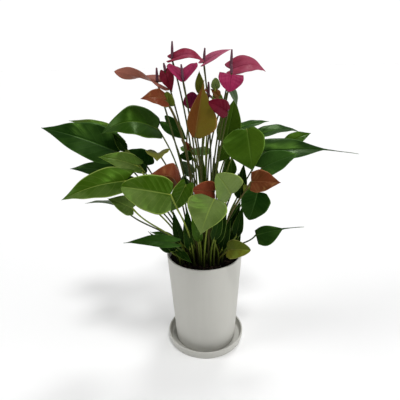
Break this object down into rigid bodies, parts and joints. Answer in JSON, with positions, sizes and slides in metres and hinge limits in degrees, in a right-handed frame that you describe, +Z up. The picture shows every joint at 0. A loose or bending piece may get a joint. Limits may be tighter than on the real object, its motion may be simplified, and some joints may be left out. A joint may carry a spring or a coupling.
{
  "type": "potted anthurium",
  "caption": "Potted anthurium: heart-shaped leaves and flowers with coloured spathes on thin stalks, in soil in a tapered pot on a saucer.",
  "frame": {"origin": "centre of the saucer's underside, on the surface that the plant stands on", "axes": "+Z up along the pot's axis; -Y is the front, the side that is usually looked at; +X to the right"},
  "size_m": [0.4902, 0.2854, 0.498],
  "materials": {
    "pot": "matte",
    "soil": "matte",
    "leaf_dark": "satin",
    "leaf_green": "satin",
    "leaf_light": "satin",
    "leaf_grey": "satin",
    "leaf_olive": "satin",
    "leaf_bronze": "satin",
    "leaf_rust": "satin",
    "stalk": "satin",
    "spathe_salmon": "satin",
    "spathe_rose": "satin",
    "spathe_magenta": "satin",
    "spathe_crimson": "satin"
  },
  "bodies": {
    "root": {"saucer": "pot", "pot": "pot", "soil": "soil", "leaf_01": "leaf_rust", "leaf_02": "leaf_grey", "leaf_03": "leaf_green", "leaf_04": "leaf_bronze", "leaf_05": "leaf_dark", "leaf_06": "leaf_green", "leaf_07": "leaf_dark", "leaf_08": "leaf_light", "leaf_09": "leaf_dark", "leaf_10": "leaf_light", "leaf_11": "leaf_grey", "leaf_12": "leaf_light", "leaf_13": "leaf_light", "leaf_14": "leaf_rust", "leaf_15": "leaf_olive", "leaf_16": "leaf_light", "leaf_17": "leaf_dark", "leaf_18": "leaf_rust", "leaf_19": "leaf_olive", "leaf_20": "leaf_light", "leaf_21": "leaf_rust", "leaf_22": "leaf_light", "leaf_23": "leaf_green", "leaf_24": "leaf_green", "leaf_25": "leaf_rust", "leaf_26": "leaf_dark", "leaf_27": "leaf_dark", "leaf_28": "leaf_olive", "leaf_29": "leaf_dark", "leaf_30": "leaf_dark", "leaf_31": "leaf_green", "leaf_32": "leaf_dark", "leaf_33": "leaf_dark", "leaf_34": "leaf_dark", "leaf_35": "leaf_dark", "leaf_36": "leaf_dark", "leaf_37": "leaf_green", "flower_stalk_01": "stalk", "spathe_01": "spathe_salmon", "flower_stalk_02": "stalk", "spathe_02": "spathe_rose", "flower_stalk_03": "stalk", "spathe_03": "spathe_rose", "flower_stalk_04": "stalk", "spathe_04": "spathe_magenta", "flower_stalk_05": "stalk", "spathe_05": "spathe_crimson", "flower_stalk_06": "stalk", "spathe_06": "spathe_magenta", "flower_stalk_07": "stalk", "spathe_07": "spathe_rose", "flower_stalk_08": "stalk", "spathe_08": "spathe_magenta", "flower_stalk_09": "stalk", "spathe_09": "spathe_crimson", "flower_stalk_10": "stalk", "spathe_10": "spathe_crimson"}
  },
  "joints": []
}
